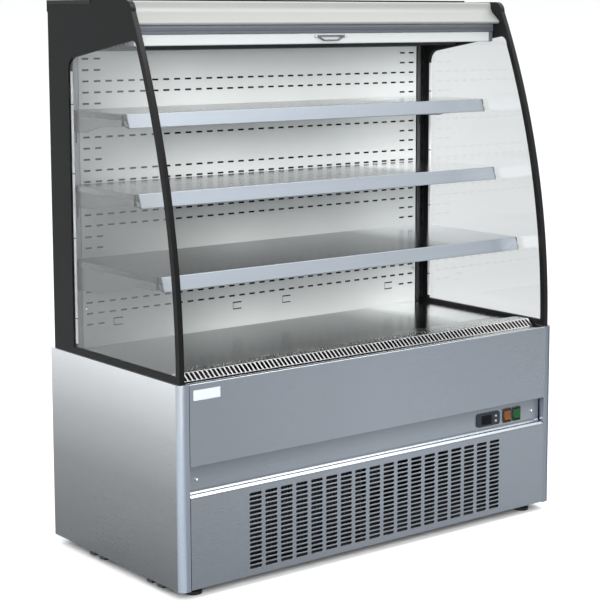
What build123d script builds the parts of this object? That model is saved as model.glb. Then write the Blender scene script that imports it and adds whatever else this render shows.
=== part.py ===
from build123d import *
import math
import os

os.makedirs("parts", exist_ok=True)

# ---------------------------------------------------------------- dimensions
# All sizes in mm. While modelling, y is the distance behind the front face and
# z is the height above the lower edge of the cabinet; place() moves a finished
# piece into the shared frame (x centred, y centred, z = 0 on the floor).
width = 1088.0            # across the side panels
depth = 530.0             # front panel to rear edge of the side panels
base_h = 440.5            # cabinet base without feet
top_h = 1224.0            # top of the end frames above the cabinet's lower edge
foot_h = 20.0             # feet below the cabinet's lower edge
sheet = 1.2               # sheet metal thickness
hw = width / 2
corner_r = 14.0           # rounded front corner of the side panels
front_edge = 519.3        # where the front strip of a side panel ends
panel_hw = 518.6          # half width of the front panels

frame_out = 537.0         # outer face of the end frames
frame_in = 525.0          # inner face of the end frames
frame_y0 = 9.0            # front edge of the frame at its foot
frame_r = 1800.0          # radius of the curved front edge
frame_z0 = 450.0          # height at which the curve starts
member = 14.0             # depth of the curved front member
glass_t = 6.0             # side glass thickness
glass_out = 534.5         # outer face of the side glass
frame_rear = 523.0        # rear edge of the frames
upright_front = 437.0     # front edge of the rear upright

shelf_tops = (984.5, 817.5, 650.0)
shelf_fronts = (236.0, 193.0, 109.5)
hook_pitch = 33.5         # pitch of the hook slots
hook_base = 939.5         # lower edge of the top shelf's lower hook slot
slot_pitch_x = 30.0       # punched rear panel
slot_pitch_z = 25.0
slot_top = 1096.0

grille_cols, grille_rows = 18, 17
grille_px, grille_pz = 41.53, 10.06
grille_slot = (32.6, 7.1)
grille_z_top = 181.0

air_pitch = 11.35         # air return slots
air_n = 91

bar_y0, bar_y1 = 201.0, 215.0     # night blind bar
bar_z0, bar_z1 = 1127.5, 1151.5
handle_x, handle_y, handle_z = 10.0, 198.2, 1145.5   # pivot of the blind handle
roller_y, roller_z = 245.4, 1179.0
roller_r = 15.0
roll_r = 18.8

foot_x, foot_y0, foot_y1 = 487.0, 43.0, 487.0
control_y = 17.0          # recessed control panel behind the front face
controller_x, control_z = 346.0, 233.5
evap_z = 362.0            # evaporator fan axis
rocker_x = (409.0, 440.5)


# ---------------------------------------------------------------- helpers
def place(shape):
    return shape.moved(Location((0, -depth / 2, foot_h)))


def box(x0, x1, y0, y1, z0, z1):
    return Pos((x0 + x1) / 2, (y0 + y1) / 2, (z0 + z1) / 2) * Box(x1 - x0, y1 - y0, z1 - z0)


def lift3(axis, w):
    if axis == "x":
        return lambda u, v: (w, u, v)
    if axis == "y":
        return lambda u, v: (u, w, v)
    return lambda u, v: (u, v, w)


def vec(axis, length):
    return {"x": (length, 0, 0), "y": (0, length, 0), "z": (0, 0, length)}[axis]


def outline(pts, to3):
    """Closed wire of lines and arcs through corner points (u, v, radius)."""
    p = [(q[0], q[1], q[2] if len(q) > 2 else 0.0) for q in pts]
    n = len(p)
    ent = []
    for i, (x, y, r) in enumerate(p):
        if r <= 0:
            ent.append(((x, y), None, (x, y)))
            continue
        ax, ay = p[i - 1][0] - x, p[i - 1][1] - y
        bx, by = p[(i + 1) % n][0] - x, p[(i + 1) % n][1] - y
        la, lb = math.hypot(ax, ay), math.hypot(bx, by)
        ax, ay, bx, by = ax / la, ay / la, bx / lb, by / lb
        ang = math.acos(max(-1, min(1, ax * bx + ay * by)))
        t = r / math.tan(ang / 2)
        sx, sy = ax + bx, ay + by
        ls = math.hypot(sx, sy)
        sx, sy = sx / ls, sy / ls
        d = r / math.sin(ang / 2)
        ent.append(((x + ax * t, y + ay * t), (x + sx * (d - r), y + sy * (d - r)), (x + bx * t, y + by * t)))
    edges = []
    for i in range(n):
        a, m, b = ent[i]
        if m is not None:
            edges.append(Edge.make_three_point_arc(to3(*a), to3(*m), to3(*b)))
        c = ent[(i + 1) % n][0]
        if math.hypot(c[0] - b[0], c[1] - b[1]) > 1e-5:
            edges.append(Edge.make_line(to3(*b), to3(*c)))
    return Wire(edges)


def prism(pts, axis, lo, hi, holes=()):
    to3 = lift3(axis, lo)
    face = Face(outline(pts, to3), [outline(h, to3) for h in holes])
    return Solid.extrude(face, vec(axis, hi - lo))


def bent(path, t, axis, lo, hi):
    """Folded sheet: open path (u, v, radius) given thickness t on its left."""
    p = [(q[0], q[1], q[2] if len(q) > 2 else 0.0) for q in path]
    n = len(p)
    seg = []
    for i in range(n - 1):
        dx, dy = p[i + 1][0] - p[i][0], p[i + 1][1] - p[i][1]
        l = math.hypot(dx, dy)
        seg.append((dx / l, dy / l))
    off = []
    for i in range(n):
        x, y, r = p[i]
        if i == 0 or i == n - 1:
            d = seg[0] if i == 0 else seg[-1]
            off.append((x - d[1] * t, y + d[0] * t, 0.0))
            continue
        d0, d1 = seg[i - 1], seg[i]
        n0, n1 = (-d0[1], d0[0]), (-d1[1], d1[0])
        sx, sy = n0[0] + n1[0], n0[1] + n1[1]
        k = t / (1 + n0[0] * n1[0] + n0[1] * n1[1])
        turn = d0[0] * d1[1] - d0[1] * d1[0]
        if r > 0:
            r2 = r - t if turn * t > 0 else r + abs(t)
            if turn * t > 0:
                r2 = max(r - abs(t), 0.0)
        else:
            r2 = 0.0
        off.append((x + sx * k, y + sy * k, r2))
    return prism(p + off[::-1], axis, lo, hi)


def cyl(p0, p1, r):
    """Cylinder between two points."""
    a, b = Vector(*p0), Vector(*p1)
    d = b - a
    return Solid.make_cylinder(r, d.length, Plane(origin=a, z_dir=d))


def stadium(cu, cv, lu, lv):
    """Outline of a round-ended slot, long in u."""
    r = lv / 2 - 0.02
    return [(cu - lu / 2, cv - lv / 2, r), (cu + lu / 2, cv - lv / 2, r),
            (cu + lu / 2, cv + lv / 2, r), (cu - lu / 2, cv + lv / 2, r)]


def rect(u0, u1, v0, v1, r=0.0):
    return [(u0, v0, r), (u1, v0, r), (u1, v1, r), (u0, v1, r)]


def fuse(*shapes):
    out = shapes[0]
    out = out.fuse(*shapes[1:]) if len(shapes) > 1 else out
    return out


def cut(a, *tools):
    return a.cut(*tools)


def tube(points, r, bend=14.0):
    """Bent round tube along 3-D points."""
    pts = [Vector(*p) for p in points]
    edges = []
    start = pts[0]
    for i in range(1, len(pts) - 1):
        a = (pts[i - 1] - pts[i]).normalized()
        b = (pts[i + 1] - pts[i]).normalized()
        ang = math.acos(max(-1, min(1, a.dot(b))))
        t = bend / math.tan(ang / 2)
        s = (a + b).normalized()
        d = bend / math.sin(ang / 2)
        p_in, p_out = pts[i] + a * t, pts[i] + b * t
        edges.append(Edge.make_line(start, p_in))
        edges.append(Edge.make_three_point_arc(p_in, pts[i] + s * (d - bend), p_out))
        start = p_out
    edges.append(Edge.make_line(start, pts[-1]))
    path = Wire(edges)
    prof = Plane(origin=pts[0], z_dir=pts[1] - pts[0]) * Circle(r)
    return sweep(prof, path=path)


def curve_y(z):
    """Front edge of the end frames at height z."""
    if z <= frame_z0:
        return frame_y0
    return frame_y0 + frame_r - math.sqrt(frame_r ** 2 - (z - frame_z0) ** 2)


parts = {}


def add(name, shape):
    parts[name] = shape


# ---------------------------------------------------------------- base cabinet
pan = box(-541.5, 541.5, 18, 526, 0, 1.5)
pan = fuse(pan, box(-518, 518, 18, 19.5, 0, 12), box(-541.5, 541.5, 524.5, 526, 0, 12),
           *[box(-542, 542, yc - 10, yc + 10, -8.5, 0.2) for yc in (86, 128, 322, 365)],
           *[cyl((sx * foot_x, y, 0), (sx * foot_x, y, 16), 12) for sx in (-1, 1) for y in (foot_y0, foot_y1)])
pan = cut(pan, *[cyl((sx * foot_x, y, -6), (sx * foot_x, y, 20), 5.06)
                 for sx in (-1, 1) for y in (foot_y0, foot_y1)])
add("floor_pan", pan)

side = bent([(-504, depth), (-hw, depth, 2.0), (-hw, 0, corner_r), (-front_edge, 0, 1.6), (-front_edge, 16)],
            sheet, "z", 0, base_h)
flange = prism([(-hw, depth), (-hw, 0, corner_r), (-front_edge, 0), (-front_edge, 11.6),
                (-526.5, 11.6), (-526.5, depth)], "z", base_h - sheet, base_h)
side = fuse(side, flange)
add("side_panel_left", side)
add("side_panel_right", side.mirror(Plane.YZ))

front = bent([(12, 424), (12, base_h, 2.0), (0, base_h, 2.0), (0, 264, 3.0), (15.5, 264, 1.5), (15.5, 272)],
             sheet, "x", -panel_hw, panel_hw)
front = fuse(front, *[box(s * (panel_hw - 0.6) - 0.6, s * (panel_hw - 0.6) + 0.6, 1, 11, 266, 434) for s in (-1, 1)])
front = cut(front, prism(rect(-509.6, -441.9, 405.3, 427.2, 1.1), "y", -0.5, 0.4))
add("front_panel", front)

controls = bent([(control_y, 300), (control_y, 208.4, 6.0), (13.0, 204.4)], sheet, "x", -516, 516)
controls = cut(controls,
               box(controller_x - 35.5, controller_x + 35.5, 10, 22, control_z - 14.5, control_z + 14.5),
               *[box(x - 11, x + 11, 10, 22, control_z - 15, control_z + 15) for x in rocker_x],
               *[cyl((s * 492.6, 10, 232.5), (s * 492.6, 22, 232.5), 1.7) for s in (-1, 1)])
add("control_panel", controls)

slots = []
for i in range(grille_cols):
    for j in range(grille_rows):
        slots.append(stadium((i - (grille_cols - 1) / 2) * grille_px, grille_z_top - j * grille_pz, *grille_slot))
low_face = prism(rect(-panel_hw, panel_hw, 6, 198.2), "y", 0, sheet, slots)
low_top = bent([(9.5, 204.8), (5.0, 204.8, 1.6), (0, 199.8, 1.6), (0, 198.0)], sheet, "x", -panel_hw, panel_hw)
low_bot = bent([(0, 6.2), (0, 1.5, 1.5), (12, 1.5)], sheet, "x", -panel_hw, panel_hw)
lower = fuse(low_face, low_top, low_bot,
             *[box(s * (panel_hw - 0.6) - 0.6, s * (panel_hw - 0.6) + 0.6, 0.9, 14, 4, 197) for s in (-1, 1)])
add("lower_grille_panel", lower)

# controller: snap-in housing, window and two keys
cx, cz = controller_x, control_z
ctrl = prism(rect(cx - 37, cx + 37, cz - 16, cz + 16, 6.0), "y", 13.5, control_y)
ctrl = fuse(ctrl, box(cx - 35, cx + 35, control_y - 0.2, 72, cz - 14, cz + 14))
win = rect(cx - 24.2, cx + 10.2, cz - 12.0, cz + 10.8, 1.2)
ctrl = cut(ctrl, prism(win, "y", 13, 15.0),
           *[prism(rect(cx + 17.85, cx + 28.15, cz + dz - 4.15, cz + dz + 4.15, 0.8), "y", 13, 17.4) for dz in (6.3, -6.3)])
add("controller_housing", ctrl)
add("controller_window", prism(rect(cx - 24.0, cx + 10.0, cz - 11.8, cz + 10.6, 1.0), "y", 13.8, 15.0))
for nm, dz in (("key_up", 6.3), ("key_down", -6.3)):
    add(nm, prism(rect(cx + 18, cx + 28, cz + dz - 4, cz + dz + 4, 0.8), "y", 12.7, 16.2))

# illuminated rocker switches
frames = []
for x in rocker_x:
    bez = prism(rect(x - 13, x + 13, cz - 17, cz + 17, 1.5), "y", 14.2, control_y,
                [rect(x - 10.3, x + 10.3, cz - 14.3, cz + 14.3, 0.3)])
    body = prism(rect(x - 10.9, x + 10.9, cz - 14.9, cz + 14.9), "y", control_y - 0.1, 40,
                 [rect(x - 10.3, x + 10.3, cz - 14.3, cz + 14.3, 0.3)])
    back = box(x - 10.9, x + 10.9, 38.5, 42, cz - 14.9, cz + 14.9)
    term = [box(x - 5.4 + 8 * k, x - 2.6 + 8 * k, 41.8, 50, cz - 3, cz + 3) for k in (0, 1)]
    pivot = cyl((x - 10.95, 18, cz), (x + 10.95, 18, cz), 0.85)
    frames.append(cut(fuse(bez, body, back, *term), pivot))
add("switch_frames", Compound(children=frames))
for nm, x in (("rocker_orange", rocker_x[0]), ("rocker_green", rocker_x[1])):
    rk = prism([(-6, -12.2, 1.2), (-3.9, 0, 12), (-6, 12.2, 1.2), (4, 9, 1.0), (4, -9, 1.0)], "x", x - 10, x + 10)
    rk = fuse(rk, cyl((x - 10.85, 0, 0), (x + 10.85, 0, 0), 0.8)).rotate(Axis.X, -7)
    add(nm, rk.moved(Location((0, 18.0, cz))))

add("nameplate_blank", prism(rect(-509.5, -442, 405.4, 427.1, 1.0), "y", 0.0, 0.4))

add("landing_trim", fuse(box(-518, 518, 13.0, 23.2, 425, 430.5), box(-518, 518, 13.0, 14.4, 425, 433.5),
                         box(-518, 518, 22.2, 23.2, 425, 436.4)))

# ---------------------------------------------------------------- foamed body
body = fuse(box(-523, 523, 20, 523, 256, 292), box(-523, 523, 20, 50, 290, 425),
            box(-523, -498, 50, 483, 290, 442.8), box(498, 523, 50, 483, 290, 442.8),
            box(-523, 523, 482, 523, 256, 1215))
add("insulated_body", body)

holes = []
for r in range(25):
    z = slot_top - r * slot_pitch_z
    cols = range(33) if r % 4 in (2, 3) else (0, 1, 31, 32)
    for c in cols:
        x = (c - 16) * slot_pitch_x
        holes.append(rect(x - 8.6, x + 8.6, z - 2.1, z + 2.1, 1.4))
for x in (-418.5, -87.5, 61.6, 392.8):
    z0, z1 = 487.0, 505.6
    holes.append([(x, z0), (x + 25.8, z0), (x + 25.8, z0 + 2.6), (x + 1.7, z0 + 2.6),
                  (x + 1.7, z1 - 3.0), (x + 25.8, z1 - 3.0), (x + 25.8, z1), (x, z1)])
panel_face = prism(rect(-497.5, 497.5, 441, 1116), "y", 454.8, 455.8, holes)
panel = fuse(panel_face, *[box(min(s * 497.5, s * 496.3), max(s * 497.5, s * 496.3), 455, 482, 441, 1116) for s in (-1, 1)])
add("back_panel", panel)

trim_l = bent([(-500.2, 453.6), (-510.6, 453.6, 1.0), (-510.6, 481.8)], 1.0, "z", 446, 1111.4)
trim_l = cut(trim_l, *[box(-509.2, -505.6, 451, 455, zs - 74, zs - 10) for zs in shelf_tops])
add("corner_trims", Compound(children=[trim_l, trim_l.mirror(Plane.YZ)]))


# ---------------------------------------------------------------- end frames
def arc_pts(z0, z1, dy, to3):
    zm = (z0 + z1) / 2
    return Edge.make_three_point_arc(to3(curve_y(z0) + dy, z0), to3(curve_y(zm) + dy, zm), to3(curve_y(z1) + dy, z1))


def frame_outline(to3):
    a = (frame_y0, base_h)
    b = (frame_y0, frame_z0)
    c = (curve_y(1200), 1200)
    e = [Edge.make_line(to3(*a), to3(*b)), arc_pts(frame_z0, 1200, 0, to3),
         Edge.make_three_point_arc(to3(*c), to3(178.6, 1216.2), to3(193.5, top_h)),
         Edge.make_line(to3(193.5, top_h), to3(frame_rear, top_h)),
         Edge.make_line(to3(frame_rear, top_h), to3(frame_rear, base_h)),
         Edge.make_line(to3(frame_rear, base_h), to3(*a))]
    return Wire(e)


def opening_outline(to3, g=0.0):
    """Glazed opening; g enlarges it on every side."""
    dy = member - g
    zb = 454.0 - g
    p1 = (curve_y(zb) + dy, zb)
    p2 = (curve_y(1120) + dy, 1120)
    p3 = (177, 1140.3 + g)
    p4 = (408, 1102.2 + g)
    p5 = (upright_front + g, 1068)
    p6 = (upright_front + g, zb)
    if zb < frame_z0:
        first = [Edge.make_line(to3(*p1), to3(frame_y0 + dy, frame_z0)), arc_pts(frame_z0, 1120, dy, to3)]
    else:
        first = [arc_pts(zb, 1120, dy, to3)]
    e = first + [
        Edge.make_three_point_arc(to3(*p2), to3(159.0 - 0.5 * g, 1135.0 + 0.8 * g), to3(*p3)),
        Edge.make_line(to3(*p3), to3(*p4)),
        Edge.make_three_point_arc(to3(*p4), to3(429.5 + 0.7 * g, 1092.0 + 0.7 * g), to3(*p5)),
        Edge.make_line(to3(*p5), to3(*p6)),
        Edge.make_line(to3(*p6), to3(*p1))]
    return Wire(e)


def slab(wire_fn, x0, x1, inner=None):
    to3 = lift3("x", x0)
    f = Face(wire_fn(to3), [inner(to3)] if inner else [])
    return Solid.extrude(f, (x1 - x0, 0, 0))


outer_lip = slab(frame_outline, -frame_out, -glass_out - 0.2, opening_outline)
inner_lip = slab(frame_outline, -glass_out + glass_t + 0.2, -frame_in, opening_outline)
middle = slab(frame_outline, -glass_out - 0.3, -glass_out + glass_t + 0.3, lambda t: opening_outline(t, 6.3))
flange = box(-frame_in - 0.5, -512.0, 453.6, 455.6, 455, 1112)
hooks = []
k = -12
z = hook_base + hook_pitch * k
while z < 1090:
    if z > 470:
        hooks.append(box(-519.9, -516.1, 452, 458, z, z + 18.5))
    z += hook_pitch
frame = cut(fuse(outer_lip, middle, inner_lip, flange), *hooks,
            cyl((-530.2, roller_y, roller_z), (-520, roller_y, roller_z), 5.06))
add("end_frame_left", frame)
add("end_frame_right", frame.mirror(Plane.YZ))

glass = slab(lambda t: opening_outline(t, 5.6), -glass_out, -glass_out + glass_t)
add("glass_left", glass)
add("glass_right", glass.mirror(Plane.YZ))

# light edge seal along the rear of the glass, in five lengths
ring = slab(lambda t: opening_outline(t, -0.5), -528.2, -526.0, lambda t: opening_outline(t, -7.5))
ring = ring.cut(box(-540, -500, -50, 230, 400, 1250), box(-540, -500, -50, 500, 400, 462),
                box(-540, -500, 200, 429.0, 400, 1060), box(-540, -500, -50, 500, 1070, 1250),
                *[box(-540, -500, 400, 500, z - 1.2, z + 1.2) for z in (997, 844, 700, 519)])
seals = [q for q in ring.solids() if q.volume > 20]
add("glazing_gaskets", Compound(children=seals + [q.mirror(Plane.YZ) for q in seals]))

# ---------------------------------------------------------------- canopy
roof = fuse(box(-524, 524, 226.5, 337, 1221.2, 1222.4), box(-524, 524, 335.8, 337, 1221.2, 1226),
            box(-536, 536, 316, 337, 1224.1, 1227.3),
            box(-538.2, 538.2, 337, 524.2, 1224.1, 1225.3),
            box(-538.2, 538.2, 336, 338, 1224.1, 1225.3),
            box(-538.2, -537.1, 337, 524.2, 1216, 1225.3), box(537.1, 538.2, 337, 524.2, 1216, 1225.3),
            box(-538.2, 538.2, 523.1, 524.2, 1200, 1225.3))
add("roof_panel", roof)

canopy = bent([(225.8, 1222.6), (210.5, 1222.6, 4.0), (208.2, 1203, 20.0), (176.6, 1176.3, 3.6),
               (181.5, 1171.4, 1.6), (206, 1171.4)], 1.4, "x", -524.3, 524.3)
add("canopy_fascia", canopy)

rail = prism([(200, 1152.2, 0.8), (200, 1158.0), (201.2, 1159.0), (200, 1160.0), (200, 1170.7, 0.8),
              (209, 1170.7), (209, 1152.2)], "x", -524.3, 524.3)
rivets = [Pos(x, 200.4, 1163.6) * Sphere(2.6) for x in (-20, 40)]
rail = fuse(rail, *[r & box(-100, 100, 190, 203, 1150, 1175) for r in rivets])
add("canopy_rail", rail)

liner = fuse(box(-523, 523, 268, 482, 1147.0, 1148.2), box(-523, 523, 267, 268.2, 1140, 1148.2),
             box(-511, 511, 452.5, 453.5, 1112, 1148))
add("canopy_liner", liner)

cells = []
for i in range(57):
    x = -490 + i * 17.5
    cells.append(box(x - 0.6, x + 0.6, 300, 392, 1118, 1146.9))
comb = [box(-490.6, 490.6, y - 0.6, y + 0.6, 1118, 1146.9) for y in (300.6, 318.9, 337.2, 355.5, 373.8, 391.4)]
add("air_honeycomb", fuse(*comb, *cells))

# ---------------------------------------------------------------- cold side, below the deck
fins = [box(x - 0.6, x + 0.6, 300, 380, 306, 400) for x in [-400 + 16 * i for i in range(51)]]
ends = [box(s * 410 - 1, s * 410 + 1, 296, 384, 292, 404) for s in (-1, 1)]
tubes = [cyl((-424, 318 + 40 * a, 324 + 28 * b), (424, 318 + 40 * a, 324 + 28 * b), 5) for a in (0, 1) for b in (0, 1, 2)]
bends = [box(s * 424 - 4, s * 424 + 4, 313, 363, 321 + 28 * b, 327 + 28 * b) for s in (-1, 1) for b in (0, 1, 2)]
add("evaporator_coil", fuse(*fins, *ends, *tubes, *bends))

plate = prism(rect(-496, 496, 292, 430), "y", 200, 201.5,
              [[(x + 62 * math.cos(t * math.pi / 16), evap_z + 62 * math.sin(t * math.pi / 16)) for t in range(32)]
               for x in (-210, 210)])
bits = []
for x in (-210, 210):
    bits.append(cyl((x, 228, evap_z), (x, 262, evap_z), 21))
    for a in (30, 150, 270):
        ca, sa = math.cos(math.radians(a)), math.sin(math.radians(a))
        arm = box(16, 68, 234, 237, -3, 3).rotate(Axis.Y, -a)
        leg = box(63, 68, 201, 237, -3, 3).rotate(Axis.Y, -a)
        bits.append(arm.moved(Location((x, 0, evap_z))))
        bits.append(leg.moved(Location((x, 0, evap_z))))
plate = fuse(plate, *bits, box(-496, 496, 200, 214, 428.8, 430))
plate = cut(plate, *[cyl((x, 220, evap_z), (x, 240, evap_z), 2.55) for x in (-210, 210)])
add("evaporator_fan_plate", plate)


def fan(r_tip, hub, y0, y1, blades, shaft_to):
    s = cyl((0, y0, 0), (0, y1, 0), hub)
    out = [s, cyl((0, y1 - 1, 0), (0, shaft_to, 0), 2.5)]
    for i in range(blades):
        b = box(-r_tip * 0.30, r_tip * 0.30, -0.8, 0.8, hub - 4, r_tip)
        b = b.rotate(Axis.Z, 28)
        b = b.moved(Location((0, (y0 + y1) / 2, 0))).rotate(Axis.Y, i * 360 / blades)
        out.append(b)
    f = fuse(*out)
    ring = cyl((0, y0 - 12, 0), (0, y1 + 12, 0), r_tip)
    keep = f & ring
    shaft = cyl((0, y1 - 1, 0), (0, shaft_to, 0), 2.5)
    return fuse(keep.solids()[0] if len(keep.solids()) == 1 else keep, shaft)


evap_fan = fan(57, 16, 208, 222, 5, 239.6)
for nm, x in (("evaporator_fan_left", -210), ("evaporator_fan_right", 210)):
    add(nm, evap_fan.moved(Location((x, 0, evap_z))))

# ---------------------------------------------------------------- condensing unit
cp = Solid.make_cylinder(76, 150, Plane(origin=(215, 300, 24)))
cp = cp.fillet(34, cp.edges())
feet_plate = box(125, 305, 240, 360, 12, 16)
grommets = [cyl((x, y, 1.5), (x, y, 13), 11) for x in (138, 292) for y in (253, 347)]
term = box(285, 312, 270, 330, 70, 120)
stubs = [cyl((215, 262, 165), (215, 262, 188), 5), cyl((180, 330, 150), (180, 330, 185), 6)]
add("compressor", fuse(cp, box(170, 260, 262, 338, 14, 40), feet_plate, *grommets, term, *stubs))

cf = [box(x - 0.5, x + 0.5, 30, 74, 22, 218) for x in [-345 + 9 * i for i in range(34)]]
ce = [box(x - 1, x + 1, 27, 77, 1.5, 222) for x in (-352, -41)]
ct = [cyl((-364, 42 + 20 * a, 40 + 32 * b), (-29, 42 + 20 * a, 40 + 32 * b), 4.5) for a in (0, 1) for b in range(6)]
cb = [box(-366, -360, 38, 66, 37 + 32 * b, 43 + 32 * b) for b in range(6)] + \
     [box(-33, -27, 38, 66, 37 + 32 * b, 43 + 32 * b) for b in range(6)]
add("condenser", fuse(*cf, *ce, *ct, *cb))

fx, fz = -196.5, 120.0
ring_pts = [(fx + 92 * math.cos(t * math.pi / 20), fz + 92 * math.sin(t * math.pi / 20)) for t in range(40)]
cowl = prism(rect(-340, -53, 10, 222), "y", 112, 113.5, [ring_pts])
cowl = fuse(cowl, box(-340, -53, 79, 113, 220.5, 222), box(-340, -338.5, 79, 113, 10, 222), box(-54.5, -53, 79, 113, 10, 222),
            box(-340, -53, 79, 113, 10, 11.5), box(-335, -315, 82, 110, 1.5, 11), box(-80, -60, 82, 110, 1.5, 11),
            cyl((fx, 132, fz), (fx, 182, fz), 34),
            *[box(20, 104, 140, 144, -4, 4).rotate(Axis.Y, -a).moved(Location((fx, 0, fz))) for a in (45, 165, 285)],
            *[box(98, 104, 112.5, 144, -4, 4).rotate(Axis.Y, -a).moved(Location((fx, 0, fz))) for a in (45, 165, 285)])
cowl = cut(cowl, cyl((fx, 125, fz), (fx, 148, fz), 2.55))
add("condenser_fan_cowl", cowl)
add("condenser_fan", fan(86, 24, 96, 120, 5, 147.6).moved(Location((fx, 0, fz))))

discharge = tube([(215, 262, 188.3), (215, 262, 212), (20, 262, 212), (20, 60, 212), (20, 60, 200), (-26.6, 60, 200)], 4, 5)
liquid = tube([(-26.6, 42, 40), (60, 42, 40), (60, 440, 40), (60, 440, 255.8)], 4, 12)
drier = cyl((60, 150, 40), (60, 250, 40), 12)
suction = tube([(180, 330, 185.3), (180, 330, 225), (180, 440, 225), (100, 440, 225), (100, 440, 255.8)], 6, 12)
add("refrigerant_pipes", Compound(children=[discharge.solids()[0], fuse(liquid, drier).solids()[0], suction.solids()[0]]))

vents = []
for i in range(3):
    for j in range(12):
        vents.append(stadium(-300 + 300 * i, 60 + 12 * j, 180, 5))
gl = [(-452 + 10.2 * math.cos(t * math.pi / 12), 60 + 10.2 * math.sin(t * math.pi / 12)) for t in range(24)]
cover = prism(rect(-503, 503, 12.5, 255.4), "y", 517, 518.2, vents + [gl])
cover = fuse(cover, *[box(s * 502.4 - 0.6, s * 502.4 + 0.6, 517, 528, 12.5, 255.4) for s in (-1, 1)])
add("rear_cover", cover)
hexp = [(-452 + 15 * math.cos(t * math.pi / 3), 60 + 15 * math.sin(t * math.pi / 3), 1.5) for t in range(6)]
gland = fuse(cyl((-452, 505, 60), (-452, 519, 60), 10), prism(hexp, "y", 518.3, 523), cyl((-452, 522.5, 60), (-452, 529.5, 60), 10.5),
             prism(hexp, "y", 510, 516.8))
gland = cut(gland, cyl((-452, 500, 60), (-452, 531, 60), 4.5))
add("power_inlet", gland)

heads = []
for s in (-1, 1):
    heads.append(fuse(Pos(s * 492.6, control_y - 0.2, 232.5) * Sphere(4.2) & box(s * 492.6 - 6, s * 492.6 + 6, 10, control_y, 225, 240),
                      cyl((s * 492.6, control_y - 0.5, 232.5), (s * 492.6, 24, 232.5), 1.6)))
for s in (-1, 1):
    heads.append(Pos(s * 488, 454.8, 533) * Sphere(4.2) & box(s * 488 - 6, s * 488 + 6, 440, 454.8, 520, 545))
add("screws", Compound(children=[h.solids()[0] for h in heads]))

# ---------------------------------------------------------------- night blind
bar = prism([(bar_y0, bar_z0, 3.2), (bar_y0, bar_z1, 3.2), (bar_y1, bar_z1, 2.0), (bar_y1, bar_z0, 2.0)], "x", -511, 511)
slit = box(-505, 505, bar_y1 - 2.6, bar_y1 - 1.4, bar_z1 - 6, bar_z1 + 1)
lugs = [prism([(195.6, 1142.4, 1.5), (195.6, 1149.0, 1.5), (bar_y0 + 0.5, 1149.0), (bar_y0 + 0.5, 1142.4)], "x",
              handle_x + s * 43 - 2.5, handle_x + s * 43 + 2.5) for s in (-1, 1)]
hollow = box(-513, 513, bar_y0 + 1.8, bar_y1 - 4.0, bar_z0 + 1.8, bar_z1 - 1.8)
bar = fuse(cut(bar, hollow), *lugs)
bar = cut(bar, slit, cyl((handle_x - 46, handle_y, handle_z), (handle_x + 46, handle_y, handle_z), 1.25))
add("blind_bar", bar)
caps = [prism([(bar_y0 - 0.4, bar_z0 - 0.3, 3.4), (bar_y0 - 0.4, bar_z1 + 0.3, 3.4), (bar_y1 + 0.3, bar_z1 + 0.3, 2.2),
               (bar_y1 + 0.3, bar_z0 - 0.3, 2.2)], "x", 511.05, 523)]
add("blind_end_caps", Compound(children=[caps[0], caps[0].mirror(Plane.YZ)]))
bail = prism([(-39.6, 1.9, 1.0), (39.6, 1.9, 1.0), (39.6, -2.4, 3), (22, -11.4, 18), (-22, -11.4, 18), (-39.6, -2.4, 3)], "y", -1.3, 1.3,
             [[(-31, -1.7, 1.0), (31, -1.7, 1.0), (19, -8.2, 10), (-19, -8.2, 10)]])
pinl = cyl((-44.6, 0, 0), (-38, 0, 0), 1.2)
pinr = cyl((38, 0, 0), (44.6, 0, 0), 1.2)
bail = fuse(bail, pinl, pinr).moved(Location((handle_x, handle_y, handle_z)))
add("blind_handle", bail)

roller = fuse(cyl((-514, roller_y, roller_z), (514, roller_y, roller_z), roller_r - 0.1),
              cyl((-529.8, roller_y, roller_z), (529.8, roller_y, roller_z), 5))
add("blind_roller", roller)
roll = cyl((-508, roller_y, roller_z), (508, roller_y, roller_z), roll_r)
roll = cut(roll, cyl((-520, roller_y, roller_z), (520, roller_y, roller_z), roller_r))
add("blind_fabric", roll)

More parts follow.
